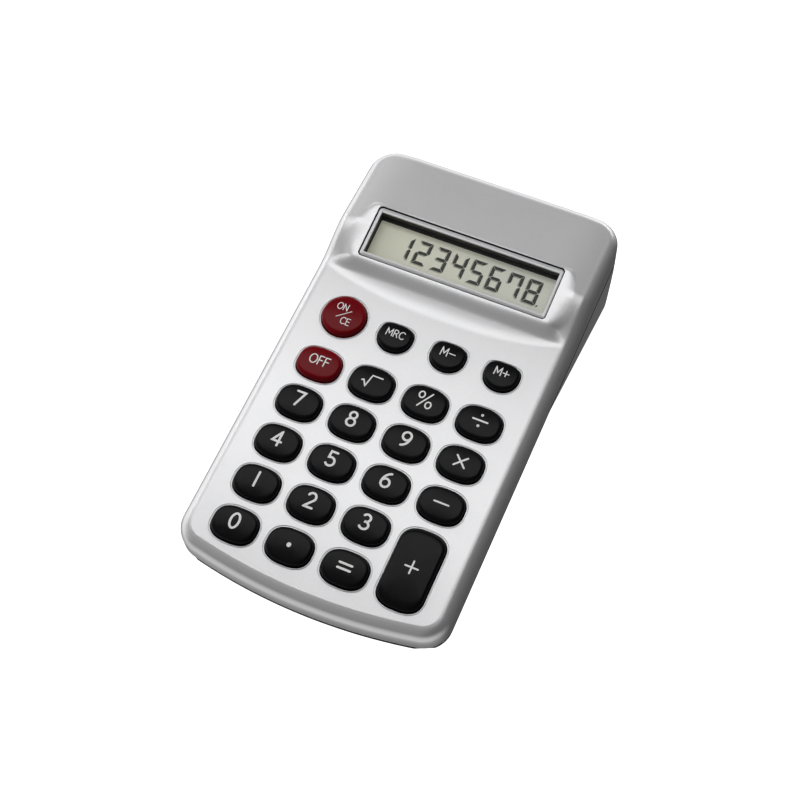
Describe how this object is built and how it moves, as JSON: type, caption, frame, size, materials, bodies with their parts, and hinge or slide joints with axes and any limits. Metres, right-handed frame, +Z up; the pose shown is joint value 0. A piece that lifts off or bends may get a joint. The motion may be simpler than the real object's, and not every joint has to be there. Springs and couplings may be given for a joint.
{
  "type": "pocket calculator",
  "caption": "Handheld battery calculator with a raised, tilted display end, a dished display window and a keypad of domed push keys, in a two-part wedge-backed case.",
  "frame": {"origin": "centre of the footprint, on the surface that the feet stand on", "axes": "+Z up from the table, +Y from the keypad end to the display end, +X to the right as the keys are read"},
  "size_m": [0.0632, 0.1138, 0.0259],
  "materials": {
    "case_silver": "satin silver paint on moulded ABS, fine metallic grain",
    "bezel_silver": "bright silver paint on a moulded frame",
    "lens_clear": "clear hard-coated acrylic",
    "lcd_grey": "grey-green reflective display glass with polariser film",
    "reflector_foil": "satin aluminised film",
    "holder_white": "white moulded plastic",
    "zebra_elastomer": "striped conductive and insulating silicone",
    "key_black": "near-black satin moulded plastic with printed legends",
    "key_red": "deep red satin moulded plastic with printed legends",
    "mat_silicone": "translucent grey silicone rubber",
    "board_laminate": "green solder mask on glass-fibre laminate",
    "chip_resin": "black potting resin",
    "resistor_body": "black glazed ceramic with tinned ends",
    "capacitor_body": "tan ceramic with tinned ends",
    "cell_can": "printed film sleeve over a metal can",
    "contact_steel": "nickel-plated spring steel",
    "screw_steel": "zinc-plated steel",
    "wire_red": "red vinyl insulation",
    "wire_black": "black vinyl insulation",
    "foot_rubber": "dark grey moulded rubber"
  },
  "bodies": {
    "case": {"front_shell": "case_silver", "rear_shell": "case_silver", "display_bezel": "bezel_silver", "display_lens": "lens_clear", "lcd_glass": "lcd_grey", "lcd_reflector": "reflector_foil", "lcd_holder": "holder_white", "zebra_connector": "zebra_elastomer", "key_mat": "mat_silicone", "circuit_board": "board_laminate", "chip_cover": "chip_resin", "chip_resistor": "resistor_body", "chip_capacitor": "capacitor_body", "battery_cell": "cell_can", "contact_positive": "contact_steel", "contact_negative": "contact_steel", "wire_positive": "wire_red", "wire_negative": "wire_black", "case_screw_1": "screw_steel", "board_screw_1": "screw_steel", "foot_1": "foot_rubber", "case_screw_2": "screw_steel", "board_screw_2": "screw_steel", "foot_2": "foot_rubber", "case_screw_3": "screw_steel", "board_screw_3": "screw_steel", "foot_3": "foot_rubber", "case_screw_4": "screw_steel", "board_screw_4": "screw_steel", "foot_4": "foot_rubber"},
    "battery_door": {"battery_door": "case_silver"},
    "key_on_clear": {"key_on_clear": "key_red"},
    "key_memory_recall": {"key_memory_recall": "key_black"},
    "key_memory_minus": {"key_memory_minus": "key_black"},
    "key_memory_plus": {"key_memory_plus": "key_black"},
    "key_off": {"key_off": "key_red"},
    "key_square_root": {"key_square_root": "key_black"},
    "key_percent": {"key_percent": "key_black"},
    "key_divide": {"key_divide": "key_black"},
    "key_7": {"key_7": "key_black"},
    "key_8": {"key_8": "key_black"},
    "key_9": {"key_9": "key_black"},
    "key_multiply": {"key_multiply": "key_black"},
    "key_4": {"key_4": "key_black"},
    "key_5": {"key_5": "key_black"},
    "key_6": {"key_6": "key_black"},
    "key_minus": {"key_minus": "key_black"},
    "key_1": {"key_1": "key_black"},
    "key_2": {"key_2": "key_black"},
    "key_3": {"key_3": "key_black"},
    "key_0": {"key_0": "key_black"},
    "key_point": {"key_point": "key_black"},
    "key_equals": {"key_equals": "key_black"},
    "key_plus": {"key_plus": "key_black"}
  },
  "joints": [
    {"name": "press_on_clear", "type": "slide", "parent": "case", "child": "key_on_clear", "axis": [0, 0.1333, -0.9911], "range_m": [0, 0.0008], "stiffness_N_per_m": 600, "springref_m": -0.0004},
    {"name": "press_memory_recall", "type": "slide", "parent": "case", "child": "key_memory_recall", "axis": [0, 0.1333, -0.9911], "range_m": [0, 0.0008], "stiffness_N_per_m": 600, "springref_m": -0.0004},
    {"name": "press_memory_minus", "type": "slide", "parent": "case", "child": "key_memory_minus", "axis": [0, 0.1333, -0.9911], "range_m": [0, 0.0008], "stiffness_N_per_m": 600, "springref_m": -0.0004},
    {"name": "press_memory_plus", "type": "slide", "parent": "case", "child": "key_memory_plus", "axis": [0, 0.1333, -0.9911], "range_m": [0, 0.0008], "stiffness_N_per_m": 600, "springref_m": -0.0004},
    {"name": "press_off", "type": "slide", "parent": "case", "child": "key_off", "axis": [0, 0.1333, -0.9911], "range_m": [0, 0.0008], "stiffness_N_per_m": 600, "springref_m": -0.0004},
    {"name": "press_square_root", "type": "slide", "parent": "case", "child": "key_square_root", "axis": [0, 0.1333, -0.9911], "range_m": [0, 0.0008], "stiffness_N_per_m": 600, "springref_m": -0.0004},
    {"name": "press_percent", "type": "slide", "parent": "case", "child": "key_percent", "axis": [0, 0.1333, -0.9911], "range_m": [0, 0.0008], "stiffness_N_per_m": 600, "springref_m": -0.0004},
    {"name": "press_divide", "type": "slide", "parent": "case", "child": "key_divide", "axis": [0, 0.1333, -0.9911], "range_m": [0, 0.0008], "stiffness_N_per_m": 600, "springref_m": -0.0004},
    {"name": "press_7", "type": "slide", "parent": "case", "child": "key_7", "axis": [0, 0.1333, -0.9911], "range_m": [0, 0.0008], "stiffness_N_per_m": 600, "springref_m": -0.0004},
    {"name": "press_8", "type": "slide", "parent": "case", "child": "key_8", "axis": [0, 0.1333, -0.9911], "range_m": [0, 0.0008], "stiffness_N_per_m": 600, "springref_m": -0.0004},
    {"name": "press_9", "type": "slide", "parent": "case", "child": "key_9", "axis": [0, 0.1333, -0.9911], "range_m": [0, 0.0008], "stiffness_N_per_m": 600, "springref_m": -0.0004},
    {"name": "press_multiply", "type": "slide", "parent": "case", "child": "key_multiply", "axis": [0, 0.1333, -0.9911], "range_m": [0, 0.0008], "stiffness_N_per_m": 600, "springref_m": -0.0004},
    {"name": "press_4", "type": "slide", "parent": "case", "child": "key_4", "axis": [0, 0.1333, -0.9911], "range_m": [0, 0.0008], "stiffness_N_per_m": 600, "springref_m": -0.0004},
    {"name": "press_5", "type": "slide", "parent": "case", "child": "key_5", "axis": [0, 0.1333, -0.9911], "range_m": [0, 0.0008], "stiffness_N_per_m": 600, "springref_m": -0.0004},
    {"name": "press_6", "type": "slide", "parent": "case", "child": "key_6", "axis": [0, 0.1333, -0.9911], "range_m": [0, 0.0008], "stiffness_N_per_m": 600, "springref_m": -0.0004},
    {"name": "press_minus", "type": "slide", "parent": "case", "child": "key_minus", "axis": [0, 0.1333, -0.9911], "range_m": [0, 0.0008], "stiffness_N_per_m": 600, "springref_m": -0.0004},
    {"name": "press_1", "type": "slide", "parent": "case", "child": "key_1", "axis": [0, 0.1333, -0.9911], "range_m": [0, 0.0008], "stiffness_N_per_m": 600, "springref_m": -0.0004},
    {"name": "press_2", "type": "slide", "parent": "case", "child": "key_2", "axis": [0, 0.1333, -0.9911], "range_m": [0, 0.0008], "stiffness_N_per_m": 600, "springref_m": -0.0004},
    {"name": "press_3", "type": "slide", "parent": "case", "child": "key_3", "axis": [0, 0.1333, -0.9911], "range_m": [0, 0.0008], "stiffness_N_per_m": 600, "springref_m": -0.0004},
    {"name": "press_0", "type": "slide", "parent": "case", "child": "key_0", "axis": [0, 0.1333, -0.9911], "range_m": [0, 0.0008], "stiffness_N_per_m": 600, "springref_m": -0.0004},
    {"name": "press_point", "type": "slide", "parent": "case", "child": "key_point", "axis": [0, 0.1333, -0.9911], "range_m": [0, 0.0008], "stiffness_N_per_m": 600, "springref_m": -0.0004},
    {"name": "press_equals", "type": "slide", "parent": "case", "child": "key_equals", "axis": [0, 0.1333, -0.9911], "range_m": [0, 0.0008], "stiffness_N_per_m": 600, "springref_m": -0.0004},
    {"name": "press_plus", "type": "slide", "parent": "case", "child": "key_plus", "axis": [0, 0.1333, -0.9911], "range_m": [0, 0.0008], "stiffness_N_per_m": 600, "springref_m": -0.0004},
    {"name": "door_slide", "type": "slide", "parent": "case", "child": "battery_door", "axis": [0, 0.9793, -0.2026], "range_m": [0, 0.024]}
  ]
}
